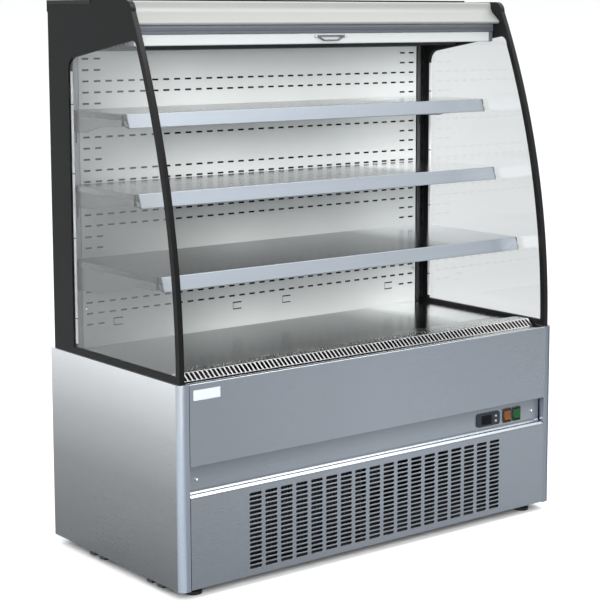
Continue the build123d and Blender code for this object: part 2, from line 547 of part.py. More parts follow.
# ---------------------------------------------------------------- shelves
names = ("top", "middle", "bottom")
for nm, zs, f in zip(names, shelf_tops, shelf_fronts):
    pl = fuse(box(-521.5, 521.5, f, 450, zs - 1, zs),
              box(-521.5, -520.5, f, 450, zs - 13, zs), box(520.5, 521.5, f, 450, zs - 13, zs),
              box(-521.5, 521.5, f, f + 1, zs - 26, zs), box(-515, 515, 449, 450, zs - 15, zs))
    add("shelf_" + nm + "_plate", pl)
    rear_h = 49 if nm != "bottom" else 67
    y1 = 449.4
    prof = [(f + 1.5, zs - 1), (f + 1.5, zs - 28, 3), (f + 85, zs - 31, 60), (f + (y1 - f) * 0.72, zs - rear_h + 2, 40),
            (y1, zs - rear_h), (y1, zs - 1)]
    br = prism(prof, "x", -519.6, -517.2)
    lo = zs - 45.0
    lo = hook_base + hook_pitch * round((lo - hook_base) / hook_pitch)
    hk = []
    for zz in (lo, lo + hook_pitch):
        hk.append(box(-519.2, -517.2, 449, 461, zz + 0.1, zz + 6))
        hk.append(box(-519.2, -517.2, 457, 461, zz - 5, zz + 6))
    scr = Pos(-519.4, f + 34, zs - 20.5) * Sphere(4.5) & box(-521.4, -519, f + 20, f + 50, zs - 30, zs - 10)
    br = fuse(br, *hk, scr, box(-519.6, -515, f + 1.5, f + 12, zs - 2.4, zs - 1), box(-519.6, -508, f + 60, f + 150, zs - 2.4, zs - 1))
    add("shelf_" + nm + "_brackets", Compound(children=[br.solids()[0], br.solids()[0].mirror(Plane.YZ)]))
    rl = bent([(f - 0.1, zs - 0.2), (f - 2.6, zs - 0.2, 1.4), (f - 13.6, zs - 31.4, 1.4), (f - 0.1, zs - 27.6)], 1.2, "x", -512.5, 521.5)
    clip = prism([(f - 0.1, zs - 0.6), (f - 2.4, zs - 0.6), (f - 6.2, zs - 12.0), (f - 4.6, zs - 14.2), (f - 11.4, zs - 25.6), (f - 0.1, zs - 25.6)],
                 "x", -519.8, -512.4)
    back = box(-512.5, 521.5, f - 1.3, f - 0.1, zs - 28.5, zs - 0.2)
    rl = fuse(rl, clip, clip.mirror(Plane.YZ).moved(Location((3.6, 0, 0))), back)
    add("shelf_" + nm + "_price_rail", rl)

# ---------------------------------------------------------------- deck and air return
deck = fuse(box(-523, 523, 158, 452.2, 443.4, 444.6), box(-496, 496, 158, 159.2, 428, 444),
            box(-496, 496, 449, 451, 434, 444))
add("deck_pan", deck)

path = [(24.8, 425.2), (24.8, 437, 1.6), (39.5, 437, 2.5), (61.5, 453.0, 4.0), (104, 451.8, 4.0), (114, 445.4, 5.0), (157.2, 445.0)]
air = bent(path, -1.2, "x", -521.5, 521.5)
endp = [(53, 443.45), (53, 445.8), (61.8, 451.9), (103.6, 450.7), (113.6, 444.25), (113.6, 443.45)]
air = fuse(air, prism(endp, "x", -521.5, -520.3), prism(endp, "x", 520.3, 521.5))
tools = []
for i in range(air_n):
    x = (i - (air_n - 1) / 2) * air_pitch
    t = prism(rect(-3.7, 3.7, -11.2, 11.2, 2.6), "z", -5, 5).rotate(Axis.X, 36.03).moved(Location((x, 50.3, 444.9)))
    tools.append(t)
for row, y in enumerate((69, 77, 85, 93)):
    for i in range(2 * air_n - 1):
        if (i + row) % 2:
            continue
        x = (i - (2 * air_n - 2) / 2) * air_pitch / 2
        tools.append(cyl((x, y, 445), (x, y, 458), 2.3))
air = cut(air, *tools)
add("air_return_grille", air)

# ---------------------------------------------------------------- levelling feet
ft = fuse(Solid.make_cylinder(19, 6.5, Plane(origin=(0, 0, -foot_h))),
          Solid.make_cone(17, 8.5, 4.5, Plane(origin=(0, 0, -13.6))),
          Solid.make_cylinder(5.0, 36, Plane(origin=(0, 0, -12))),
          prism([(9.5 * math.cos(t * math.pi / 3), 9.5 * math.sin(t * math.pi / 3)) for t in range(6)], "z", -9.5, -5.2))
for nm, sx, y in (("foot_front_left", -1, foot_y0), ("foot_front_right", 1, foot_y0),
                  ("foot_rear_left", -1, foot_y1), ("foot_rear_right", 1, foot_y1)):
    add(nm, ft.moved(Location((sx * foot_x, y, 0))))

# ---------------------------------------------------------------- write one STEP per node
for name, shape in parts.items():
    export_step(place(shape), "parts/" + name + ".step")
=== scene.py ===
import bpy
import math
import random
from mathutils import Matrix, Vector


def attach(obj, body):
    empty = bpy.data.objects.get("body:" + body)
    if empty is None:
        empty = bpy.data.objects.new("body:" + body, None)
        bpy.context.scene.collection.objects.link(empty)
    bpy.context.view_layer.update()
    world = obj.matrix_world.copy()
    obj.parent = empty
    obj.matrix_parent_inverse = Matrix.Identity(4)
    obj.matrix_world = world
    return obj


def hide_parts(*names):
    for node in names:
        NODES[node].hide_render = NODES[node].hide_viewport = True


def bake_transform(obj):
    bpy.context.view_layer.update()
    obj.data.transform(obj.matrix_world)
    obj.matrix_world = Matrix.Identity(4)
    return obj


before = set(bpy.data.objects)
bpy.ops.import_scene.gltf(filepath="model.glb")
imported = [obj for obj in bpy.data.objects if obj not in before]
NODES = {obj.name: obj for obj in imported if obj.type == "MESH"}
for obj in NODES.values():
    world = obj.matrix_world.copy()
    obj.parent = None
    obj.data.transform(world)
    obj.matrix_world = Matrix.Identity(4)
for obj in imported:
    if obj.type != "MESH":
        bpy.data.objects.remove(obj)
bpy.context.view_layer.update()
random.seed(7)


def X(v):
    return v / 1000.0


def Y(v):
    return (v - 265.0) / 1000.0


def Z(v):
    return (v + 20.0) / 1000.0


# ------------------------------------------------------------ material tools
class Mat:
    """A procedural surface on object coordinates, so it stays put on the part."""

    def __init__(self, name):
        self.m = bpy.data.materials.new(name)
        self.m.use_nodes = True
        self.nt = self.m.node_tree
        self.nt.nodes.clear()
        self.out = self.nt.nodes.new("ShaderNodeOutputMaterial")
        self.b = self.nt.nodes.new("ShaderNodeBsdfPrincipled")
        self.nt.links.new(self.b.outputs[0], self.out.inputs[0])
        self.tc = self.nt.nodes.new("ShaderNodeTexCoord")
        self.normal = None

    def link(self, a, b):
        self.nt.links.new(a, b)

    def noise(self, scale=(1, 1, 1), detail=3.0, rough=0.55, offset=(0, 0, 0), dist=0.0):
        mp = self.nt.nodes.new("ShaderNodeMapping")
        mp.inputs["Scale"].default_value = scale
        mp.inputs["Location"].default_value = offset
        self.link(self.tc.outputs["Object"], mp.inputs["Vector"])
        n = self.nt.nodes.new("ShaderNodeTexNoise")
        n.inputs["Scale"].default_value = 1.0
        n.inputs["Detail"].default_value = detail
        n.inputs["Roughness"].default_value = rough
        n.inputs["Distortion"].default_value = dist
        self.link(mp.outputs[0], n.inputs["Vector"])
        return n.outputs["Fac"]

    def voronoi(self, scale=(1, 1, 1), feature="F1"):
        mp = self.nt.nodes.new("ShaderNodeMapping")
        mp.inputs["Scale"].default_value = scale
        self.link(self.tc.outputs["Object"], mp.inputs["Vector"])
        n = self.nt.nodes.new("ShaderNodeTexVoronoi")
        n.feature = feature
        n.inputs["Scale"].default_value = 1.0
        self.link(mp.outputs[0], n.inputs["Vector"])
        return n.outputs["Distance"]

    def axis(self, which):
        sep = self.nt.nodes.new("ShaderNodeSeparateXYZ")
        self.link(self.tc.outputs["Object"], sep.inputs[0])
        return sep.outputs[which]

    def math(self, op, a, b=None, clamp=False):
        n = self.nt.nodes.new("ShaderNodeMath")
        n.operation = op
        n.use_clamp = clamp
        for i, v in enumerate((a, b)):
            if v is None:
                continue
            if isinstance(v, (int, float)):
                n.inputs[i].default_value = v
            else:
                self.link(v, n.inputs[i])
        return n.outputs[0]

    def remap(self, f, lo, hi, to_lo, to_hi, smooth=False):
        n = self.nt.nodes.new("ShaderNodeMapRange")
        n.clamp = True
        if smooth:
            n.interpolation_type = "SMOOTHSTEP"
        n.inputs["From Min"].default_value = lo
        n.inputs["From Max"].default_value = hi
        n.inputs["To Min"].default_value = to_lo
        n.inputs["To Max"].default_value = to_hi
        self.link(f, n.inputs["Value"])
        return n.outputs["Result"]

    def ramp(self, f, stops):
        n = self.nt.nodes.new("ShaderNodeValToRGB")
        cr = n.color_ramp
        while len(cr.elements) > 1:
            cr.elements.remove(cr.elements[-1])
        cr.elements[0].position = stops[0][0]
        cr.elements[0].color = (*stops[0][1], 1)
        for p, c in stops[1:]:
            e = cr.elements.new(p)
            e.color = (*c, 1)
        self.link(f, n.inputs[0])
        return n.outputs[0]

    def mix(self, f, a, b, blend="MIX"):
        n = self.nt.nodes.new("ShaderNodeMix")
        n.data_type = "RGBA"
        n.blend_type = blend
        if isinstance(f, (int, float)):
            n.inputs[0].default_value = f
        else:
            self.link(f, n.inputs[0])
        for i, v in ((6, a), (7, b)):
            if isinstance(v, tuple):
                n.inputs[i].default_value = (*v, 1) if len(v) == 3 else v
            else:
                self.link(v, n.inputs[i])
        return n.outputs[2]

    def bump(self, height, strength, distance=0.0005):
        n = self.nt.nodes.new("ShaderNodeBump")
        n.inputs["Strength"].default_value = strength
        n.inputs["Distance"].default_value = distance
        self.link(height, n.inputs["Height"])
        if self.normal is not None:
            self.link(self.normal, n.inputs["Normal"])
        self.normal = n.outputs[0]
        self.link(self.normal, self.b.inputs["Normal"])

    def soft_edges(self, radius=0.0008):
        n = self.nt.nodes.new("ShaderNodeBevel")
        n.samples = 4
        n.inputs["Radius"].default_value = radius
        self.normal = n.outputs[0]
        self.link(self.normal, self.b.inputs["Normal"])

    def edge_mask(self, radius=0.0015, lo=0.02, hi=0.25):
        """1 on outside and inside edges of the sheet, 0 on flats."""
        bev = self.nt.nodes.new("ShaderNodeBevel")
        bev.samples = 4
        bev.inputs["Radius"].default_value = radius
        geo = self.nt.nodes.new("ShaderNodeNewGeometry")
        dot = self.nt.nodes.new("ShaderNodeVectorMath")
        dot.operation = "DOT_PRODUCT"
        self.link(bev.outputs[0], dot.inputs[0])
        self.link(geo.outputs["Normal"], dot.inputs[1])
        inv = self.math("SUBTRACT", 1.0, dot.outputs["Value"])
        return self.remap(inv, lo, hi, 0.0, 1.0)

    def set(self, **k):
        names = {"base": "Base Color", "rough": "Roughness", "metal": "Metallic", "ior": "IOR", "spec": "Specular IOR Level",
                 "coat": "Coat Weight", "coat_rough": "Coat Roughness", "trans": "Transmission Weight", "alpha": "Alpha",
                 "sheen": "Sheen Weight", "aniso": "Anisotropic", "aniso_rot": "Anisotropic Rotation",
                 "emit": "Emission Color", "emit_s": "Emission Strength", "sss": "Subsurface Weight"}
        for key, v in k.items():
            s = self.b.inputs[names[key]]
            if isinstance(v, tuple):
                s.default_value = (*v, 1) if len(v) == 3 else v
            elif isinstance(v, (int, float)):
                s.default_value = v
            else:
                self.link(v, s)
        return self


def scaled(c, f):
    return tuple(min(1.0, v * f) for v in c)


def toned(t, shade, tone):
    """Slow change of tone along one or more axes: (axis, [(metres, factor), ...]), factors up to 2. Mostly painted
    light and shade: gradients that stand in for reflections, shadows and lit sides.
    """
    for which, stops in ([] if not tone else tone if isinstance(tone, list) else [tone]):
        lo, hi = stops[0][0], stops[-1][0]
        top = max(1.0, max(max(v) if isinstance(v, tuple) else v for p, v in stops))
        f = t.remap(t.axis(which), lo, hi, 0.0, 1.0)
        grad = t.ramp(f, [((p - lo) / (hi - lo), scaled((v, v, v) if isinstance(v, float) else v, 1 / top)) for p, v in stops])
        shade = t.mix(1.0, shade, grad, "MULTIPLY")
        if top > 1.0:
            shade = t.mix(1.0, shade, (top, top, top), "MULTIPLY")
    return shade


def shaded(t, shade, spec):
    """Painted light on one region: along (axis, start, end) the shade blends to a painted colour for that region, such
    as the highlight on the grille bars.
    """
    for which, a, b, painted_col in spec:
        f = t.remap(t.axis(which), a, b, 0.0, 1.0, True)
        if isinstance(painted_col, list):
            painted_col = t.ramp(t.remap(t.axis(0), -0.52, 0.52, 0.0, 1.0), [(p, (v, v * 1.01, v)) for p, v in painted_col])
        shade = t.mix(f, shade, painted_col)
    return shade


def painted_corner_light(t, shade):
    """Painted light on the side panels' rounded front corner and the narrow strip that returns to the front: a painted
    highlight on the corner, brightest low down and darker on the right-hand corner, and a fixed painted tone on the
    strip.
    """
    across = t.remap(t.math("ABSOLUTE", t.axis(0)), 0.5285, 0.5335, 0.0, 1.0, True)
    up = t.ramp(t.remap(t.axis(2), 0.02, 0.46, 0.0, 1.0),
                [(0.0, (0.60, 0.68, 0.76)), (0.3, (0.48, 0.54, 0.61)), (0.65, (0.41, 0.46, 0.52)), (1.0, (0.44, 0.47, 0.50))])
    up = t.mix(1.0, up, t.remap(t.axis(0), 0.0, 0.1, 1.0, 0.45), "MULTIPLY")
    painted_col = t.mix(across, (0.365, 0.405, 0.46), up)
    return t.mix(t.remap(t.axis(1), -0.2490, -0.2520, 0.0, 1.0, True), shade, painted_col)


def brushed(name, col, rough=0.32, grain="x", vary=0.05, grain_amt=0.06, bump=0.12, tone=None, soft=0.0008, metal=1.0,
            fine=900.0, streak=60.0, blotch=3.0, along=None, over=(), corner=False):
    """Brushed sheet: long grain along one axis in colour, roughness and relief, with broad handling marks; tone, over
    and corner paint light and shade into the colour.
    """
    t = Mat(name)
    ax = {"x": 0, "y": 1, "z": 2}[grain]
    sf = [fine] * 3
    ss = [streak] * 3
    sf[ax], ss[ax] = along or fine / 90.0, (along or streak / 10.0) / 4.0
    g1 = t.noise(tuple(sf), 4, 0.6)
    g2 = t.noise(tuple(ss), 3, 0.5, (3.1, 1.7, 0.4))
    broad = t.noise((blotch, blotch, blotch), 2, 0.5, (0.3, 0.9, 2.2))
    both = t.math("ADD", t.math("MULTIPLY", g1, 0.55), t.math("MULTIPLY", g2, 0.45))
    shade = t.ramp(both, [(0.30, scaled(col, 1 - grain_amt)), (0.70, scaled(col, 1 + grain_amt))])
    shade = t.mix(t.remap(broad, 0.3, 0.7, 0.0, 1.0), shade, t.mix(1.0, shade, (1 - vary, 1 - vary, 1 - vary), "MULTIPLY"))
    shade = shaded(t, toned(t, shade, tone), over)
    if corner:
        shade = painted_corner_light(t, shade)
    t.set(base=shade, metal=metal, rough=t.math("ADD", t.remap(both, 0.3, 0.7, rough - 0.05, rough + 0.05),
                                               t.remap(broad, 0.3, 0.7, -0.02, 0.03)))
    if soft:
        t.soft_edges(soft)
    t.bump(both, bump, 0.0004)
    return t.m


def coated(name, col, rough=0.45, peel=0.10, wear=0.25, vary=0.06, soft=0.0007, coat=0.0, spec=0.5, wear_col=None, tone=None, blotch=5.0,
           painted_left_shade=False):
    """Powder coat or enamel: orange peel, slight mottling, lighter rubbed edges."""
    t = Mat(name)
    mott = t.noise((blotch, blotch, blotch), 3, 0.5)
    peel_n = t.noise((420, 420, 420), 2, 0.5, (1, 2, 3))
    shade = t.ramp(mott, [(0.3, scaled(col, 1 - vary)), (0.7, scaled(col, 1 + vary))])
    shade = toned(t, shade, tone)
    # painted shade: the lower left of the panel darker, lighter towards the top
    if painted_left_shade:
        side = t.remap(t.axis(0), -0.42, 0.0, 1.0, 0.0, True)
        painted_col = t.ramp(t.remap(t.axis(2), 0.46, 1.12, 0.0, 1.0), [(0.0, (0.45, 0.46, 0.46)), (0.35, (0.62, 0.63, 0.62)), (0.62, (0.98, 0.98, 0.98)), (1.0, (1.0, 1.0, 1.0))])
        shade = t.mix(side, shade, t.mix(1.0, shade, painted_col, "MULTIPLY"))
    if wear > 0:
        mask = t.math("MULTIPLY", t.edge_mask(0.0012), t.remap(t.noise((60, 60, 60), 4, 0.6, (4, 4, 4)), 0.42, 0.62, 0.15, 1.0))
        wc = wear_col or tuple(min(1.0, v * 1.8 + 0.05) for v in col)
        shade = t.mix(t.math("MULTIPLY", mask, wear), shade, wc)
    t.set(base=shade, metal=0.0, rough=t.remap(mott, 0.3, 0.7, rough - 0.04, rough + 0.05), coat=coat, spec=spec)
    if soft:
        t.soft_edges(soft)
    t.bump(peel_n, peel, 0.0003)
    return t.m


def moulded(name, col, rough=0.5, grain=0.25, vary=0.05, soft=0.0004, spec=0.5, coat=0.0):
    """Moulded plastic with a fine spark-erosion texture."""
    t = Mat(name)
    mott = t.noise((14, 14, 14), 3, 0.5)
    tex = t.noise((2600, 2600, 2600), 2, 0.6)
    shade = t.ramp(mott, [(0.3, scaled(col, 1 - vary)), (0.7, scaled(col, 1 + vary))])
    mask = t.edge_mask(0.0007)
    shade = t.mix(t.math("MULTIPLY", mask, 0.18), shade, tuple(min(1.0, v * 1.6 + 0.03) for v in col))
    t.set(base=shade, rough=t.remap(mott, 0.3, 0.7, rough - 0.05, rough + 0.05), spec=spec, coat=coat)
    if soft:
        t.soft_edges(soft)
    t.bump(tex, grain, 0.00015)
    return t.m


def glass(name, tint=(0.966, 0.972, 0.970), spec=0.22):
    t = Mat(name)
    smear = t.noise((7, 7, 7), 3, 0.6)
    t.set(base=t.ramp(smear, [(0.3, tint), (0.7, scaled(tint, 1.012))]), trans=1.0, ior=1.5, spec=spec,
          rough=t.remap(smear, 0.35, 0.75, 0.0, 0.018))
    return t.m


# ------------------------------------------------------------ materials
# Painted light: a darker band where shade falls in the ledge gap (z 0.2185 to 0.2260), a slightly darker bottom, and
# painted reflections darker on the left than on the right.
steel_front = brushed("steel_front", (0.41, 0.44, 0.475), 0.30, "x", vary=0.02, grain_amt=0.03, fine=3000, streak=700, bump=0.06,
                      tone=[(2, [(0.02, 0.92), (0.2160, 0.97), (0.2185, 0.80), (0.2260, 0.80), (0.2285, 0.98), (0.46, 1.04)]), (0, [(-0.54, 0.84), (-0.25, 0.98), (0.0, 1.10), (0.54, 1.08)])])
# Shaded copy of the front steel: painted shadow under the front panel's overhang, darkest at the top of the recess,
# with the same left-to-right painted reflections.
steel_recess = brushed("steel_recess", (0.41, 0.44, 0.475), 0.30, "x", vary=0.02, grain_amt=0.03, fine=3000, streak=700, bump=0.06,
                       tone=[(2, [(0.230, 0.80), (0.234, 1.0), (0.250, 0.94), (0.284, 0.66)]), (0, [(-0.54, 0.84), (-0.25, 0.98), (0.0, 1.10), (0.54, 1.10)])])
# Lit copy of the front steel: painted reflection, bright at the top and dark at the bottom, and a painted highlight on
# the rounded front corner.
steel_side = brushed("steel_side", (0.60, 0.61, 0.615), 0.30, "y", vary=0.02, grain_amt=0.03, fine=3000, streak=700, bump=0.05,
                     tone=(2, [(0.02, 0.52), (0.22, 0.58), (0.34, 0.82), (0.42, 1.12), (0.456, 1.28)]),
                     corner=True)
# Painted reflections: very bright towards the right end and darker towards the front; almost black below z 0.463 as
# painted shade.
steel_deck = brushed("steel_deck", (0.30, 0.31, 0.305), 0.13, "x", vary=0.03, grain_amt=0.05, fine=2500, bump=0.22, streak=900, along=1.2,
                     tone=[(0, [(-0.30, 1.0), (-0.05, 0.40), (0.20, 0.50), (0.32, 1.6), (0.40, 4.2), (0.52, 4.4)]), (1, [(-0.11, 0.60), (0.02, 0.78), (0.19, 1.20)]),
                           (2, [(0.4630, 0.05), (0.4638, 1.0)])])
# Painted reflections: very bright towards the right end and darker towards the front; the top and bottom shelves
# painted darker than the middle one.
steel_shelf = brushed("steel_shelf", (0.36, 0.375, 0.385), 0.14, "x", vary=0.02, grain_amt=0.05, fine=2500, bump=0.25, streak=900, along=1.2,
                      tone=[(0, [(0.10, 0.85), (0.25, 1.2), (0.33, 4.2), (0.42, 4.8), (0.52, 4.8)]), (1, [(-0.16, 0.60), (0.02, 0.75), (0.19, 1.10)]), (2, [(0.67, 0.50), (0.74, 0.58), (0.83, 0.92), (0.92, 0.84), (1.0, 0.52)])])
# Painted reflections: brighter towards the right and darker at the front; over paints a highlight on the bars' slope,
# rising from dark on the left to bright on the right.
steel_grille = brushed("steel_grille", (0.33, 0.34, 0.335), 0.20, "x", vary=0.02, grain_amt=0.05, fine=2500, bump=0.2, streak=900, along=1.2,
                       tone=[(0, [(-0.2, 0.85), (0.05, 0.50), (0.15, 0.62), (0.27, 1.5), (0.40, 2.2), (0.52, 2.4)]), (1, [(-0.203, 0.85), (-0.11, 0.75)])],
                       over=[(1, -0.2015, -0.2035, [(0.0, 0.33), (0.45, 0.36), (0.68, 0.46), (0.78, 0.58), (0.90, 0.74), (1.0, 0.88)])])
# Painted shade: the brackets darker lower down.
steel_bracket = brushed("steel_bracket", (0.235, 0.25, 0.25), 0.40, "y", bump=0.08, grain_amt=0.04, fine=2500, streak=600,
                        tone=(2, [(0.60, 0.75), (0.70, 0.8), (0.84, 1.0), (1.0, 1.1)]))
galv = brushed("galvanised", (0.50, 0.52, 0.54), 0.42, "x", vary=0.14, grain_amt=0.04, blotch=30)
fins = brushed("fins", (0.62, 0.63, 0.64), 0.38, "z", vary=0.10)
fins_black = coated("fins_black", (0.022, 0.022, 0.024), 0.45, 0.08, 0.2)
cowl_black = coated("cowl_black", (0.030, 0.030, 0.032), 0.42, 0.10, 0.25)
zinc = brushed("zinc_screws", (0.72, 0.73, 0.74), 0.22, "z", bump=0.05)
# Painted shade at the two ends of each price rail.
rail_satin = brushed("rail_satin", (0.29, 0.32, 0.355), 0.36, "x", metal=0.6, bump=0.05, grain_amt=0.03,
                     tone=(0, [(-0.5128, 0.10), (-0.5122, 1.0), (0.5214, 1.0), (0.5218, 0.10)]))
rail_grey = brushed("rail_grey", (0.14, 0.148, 0.17), 0.40, "x", metal=0.35, bump=0.05, grain_amt=0.02, fine=3000, streak=900,
                    tone=(2, [(1.172, 0.95), (1.184, 1.0), (1.1868, 1.9), (1.191, 2.0)]))
roller_alu = brushed("roller_alu", (0.62, 0.63, 0.64), 0.34, "x")
chrome = brushed("handle_chrome", (0.42, 0.43, 0.45), 0.22, "x", bump=0.04, grain_amt=0.03)
copper = brushed("copper", (0.12, 0.065, 0.042), 0.55, "x", vary=0.25, grain_amt=0.03, blotch=24)

# Painted light: the right end frame up to twice as bright as the left.
anthracite = coated("anthracite", (0.0045, 0.0045, 0.0045), 0.40, 0.10, 0.04, spec=0.16, tone=(0, [(0.40, 1.0), (0.50, 2.0)]))
roof_coat = coated("roof_coat", (0.0075, 0.0075, 0.0072), 0.36, 0.10, 0.06, spec=0.25)
cream = coated("cream_canopy", (0.222, 0.228, 0.219), 0.42, 0.05, 0.0, vary=0.015)
# Painted shade: the lower left darker, a darker band at z 0.63 to 0.80 and a brighter bottom, and almost black past y
# 0.1914 where the duct behind the panel edge is in shade.
white_in = coated("white_panel", (0.72, 0.74, 0.73), 0.34, 0.06, 0.06, vary=0.03, wear_col=(0.5, 0.5, 0.5), painted_left_shade=True,
                  tone=[(2, [(0.461, 1.30), (0.56, 1.25), (0.63, 0.95), (0.68, 0.86), (0.80, 0.96), (0.88, 1.0), (1.08, 1.08)]),
                        (1, [(0.1908, 1.0), (0.1914, 0.05)])])
white_grille = coated("white_grille", (0.78, 0.79, 0.77), 0.36, 0.05, 0.15, vary=0.02, wear_col=(0.55, 0.55, 0.55))
liner_dark = coated("liner_dark", (0.10, 0.105, 0.105), 0.5, 0.08, 0.1)
white_blind = coated("white_blind", (0.42, 0.435, 0.435), 0.34, 0.03, 0.05, vary=0.01, tone=(2, [(1.06, 0.62), (1.13, 1.0)]))
plate_white = coated("plate_white", (0.46, 0.50, 0.53), 0.30, 0.02, 0.0, vary=0.01)
# Painted shade: the right-hand trim much darker than the left, and the lower part darker.
grey_trim = coated("grey_trim", (0.50, 0.53, 0.57), 0.40, 0.05, 0.06, vary=0.03,
                   tone=[(0, [(-0.5, 1.0), (0.5, 0.12)]), (2, [(0.46, 0.35), (0.70, 0.55), (0.90, 1.0), (1.12, 1.1)])])
base_black = coated("base_black", (0.030, 0.030, 0.032), 0.5, 0.12, 0.25)
# Painted shade: almost black in front of y 0.2186, where the foam shows in the gaps.
foam_coat = coated("foam_coat", (0.42, 0.43, 0.43), 0.5, 0.08, 0.0, vary=0.05, tone=(1, [(0.2186, 0.03), (0.2226, 1.0)]))
enamel = coated("compressor_enamel", (0.018, 0.018, 0.020), 0.26, 0.10, 0.3, coat=0.3)
black_sat = moulded("black_plastic", (0.018, 0.018, 0.020), 0.5)
fan_black = moulded("fan_plastic", (0.035, 0.035, 0.04), 0.48)
foot_black = moulded("foot_plastic", (0.012, 0.012, 0.014), 0.42)
cap_grey = moulded("cap_grey", (0.085, 0.090, 0.115), 0.45)
ctrl_grey = moulded("controller_plastic", (0.020, 0.024, 0.031), 0.45, spec=0.25)
key_grey = moulded("key_plastic", (0.055, 0.060, 0.072), 0.5)
seal_grey = moulded("seal_grey", (0.88, 0.89, 0.90), 0.5)
switch_black = moulded("switch_black", (0.02, 0.022, 0.02), 0.3)
amber = moulded("rocker_amber", (0.15, 0.050, 0.010), 0.34, 0.03, coat=0.1, spec=0.3)
green = moulded("rocker_green", (0.004, 0.065, 0.012), 0.34, 0.03, coat=0.1, spec=0.3)
clear = glass("side_glass")
# A darker, more reflective copy of the side glass for the right pane: painted shade and reflection.
clear_right_shaded = glass("side_glass_right_shaded", (0.91, 0.918, 0.915), 0.5)
smoked = moulded("smoked_window", (0.003, 0.0032, 0.004), 0.25, 0.0, spec=0.12)

ASSIGN = {
    "floor_pan": base_black, "side_panel_left": steel_side, "side_panel_right": steel_side, "front_panel": steel_front,
    "control_panel": steel_recess, "lower_grille_panel": steel_front, "controller_housing": ctrl_grey, "controller_window": smoked,
    "key_up": key_grey, "key_down": key_grey, "switch_frames": switch_black, "rocker_orange": amber, "rocker_green": green,
    "nameplate_blank": plate_white, "landing_trim": black_sat, "insulated_body": foam_coat, "back_panel": white_in,
    "corner_trims": grey_trim, "end_frame_left": anthracite, "end_frame_right": anthracite, "glass_left": clear, "glass_right": clear_right_shaded,
    "glazing_gaskets": seal_grey, "roof_panel": roof_coat, "canopy_fascia": cream, "canopy_rail": rail_grey, "canopy_liner": liner_dark,
    "air_honeycomb": black_sat, "evaporator_coil": fins, "evaporator_fan_plate": galv, "evaporator_fan_left": fan_black,
    "evaporator_fan_right": fan_black, "compressor": enamel, "condenser": fins_black, "condenser_fan": fan_black,
    "condenser_fan_cowl": cowl_black, "refrigerant_pipes": copper, "power_inlet": black_sat, "rear_cover": galv, "screws": zinc,
    "blind_bar": white_blind, "blind_end_caps": cap_grey, "blind_handle": chrome, "blind_roller": roller_alu, "blind_fabric": white_blind,
    "deck_pan": steel_deck, "air_return_grille": steel_grille,
    "foot_front_left": foot_black, "foot_front_right": foot_black, "foot_rear_left": foot_black, "foot_rear_right": foot_black,
}
for s in ("top", "middle", "bottom"):
    ASSIGN["shelf_%s_plate" % s] = steel_shelf
    ASSIGN["shelf_%s_brackets" % s] = steel_bracket
    ASSIGN["shelf_%s_price_rail" % s] = rail_satin
for n, m in ASSIGN.items():
    o = NODES[n]
    o.data.materials.clear()
    o.data.materials.append(m)


# ------------------------------------------------------------ added pieces
def mesh_obj(name, verts, faces, mat, body):
    me = bpy.data.meshes.new(name)
    me.from_pydata(verts, [], faces)
    me.update()
    o = bpy.data.objects.new(name, me)
    bpy.context.scene.collection.objects.link(o)
    me.materials.append(mat)
    if body:
        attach(o, body)
    return o


# night blind cloth: rolled up on its roller, with the strip that runs to the bar
def cloth_material():
    t = Mat("blind_cloth")
    w1 = t.noise((1600, 60, 60), 2, 0.5)
    w2 = t.noise((60, 1600, 1600), 2, 0.5, (5, 5, 5))
    weave = t.math("ADD", w1, w2)
    mott = t.noise((9, 9, 9), 3, 0.5)
    t.set(base=t.ramp(t.math("ADD", t.math("MULTIPLY", weave, 0.3), t.math("MULTIPLY", mott, 0.4)), [(0.3, (0.50, 0.51, 0.52)), (0.7, (0.62, 0.63, 0.64))]),
          rough=t.remap(weave, 0.7, 1.3, 0.62, 0.75), sheen=0.2)
    t.bump(weave, 0.3, 0.0003)
    return t.m


cloth_mat = cloth_material()
path = []
r0, r1, thick = 15.3, 18.7, 0.5
turns = (r1 - r0) / thick
n_spiral = int(turns * 44)
cy, cz = 245.4, 1179.0
bar_pt = (212.9, 1147.5)
dy, dz = cy - bar_pt[0], cz - bar_pt[1]
dist = math.hypot(dy, dz)
# outer end leaves the roll at the tangent that faces the bar
base_ang = math.atan2(bar_pt[1] - cz, bar_pt[0] - cy)
tan_ang = base_ang - math.acos(r1 / dist)
for i in range(n_spiral + 1):
    k = i / n_spiral
    ang = tan_ang - (1 - k) * turns * 2 * math.pi * -1.0
    rr = r0 + (r1 - r0) * k
    path.append((cy + rr * math.cos(ang), cz + rr * math.sin(ang)))
last = path[-1]
for i in range(1, 41):
    k = i / 40
    path.append((last[0] + (bar_pt[0] - last[0]) * k, last[1] + (bar_pt[1] - last[1]) * k))
nx = 24
half = 503.0
verts, faces = [], []
for (yy, zz) in path:
    for i in range(nx + 1):
        verts.append((X(-half + 2 * half * i / nx), Y(yy), Z(zz)))
for j in range(len(path) - 1):
    for i in range(nx):
        a = j * (nx + 1) + i
        faces.append((a, a + 1, a + nx + 2, a + nx + 1))
cloth = mesh_obj("blind_cloth", verts, faces, cloth_mat, None)
for p in cloth.data.polygons:
    p.use_smooth = True
solid = cloth.modifiers.new("thick", "SOLIDIFY")
solid.thickness = 0.00035
solid.offset = 0
bpy.context.view_layer.objects.active = cloth
for o in bpy.context.selected_objects:
    o.select_set(False)
cloth.select_set(True)
bpy.ops.object.modifier_apply(modifier=solid.name)
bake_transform(cloth)
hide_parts("blind_fabric")

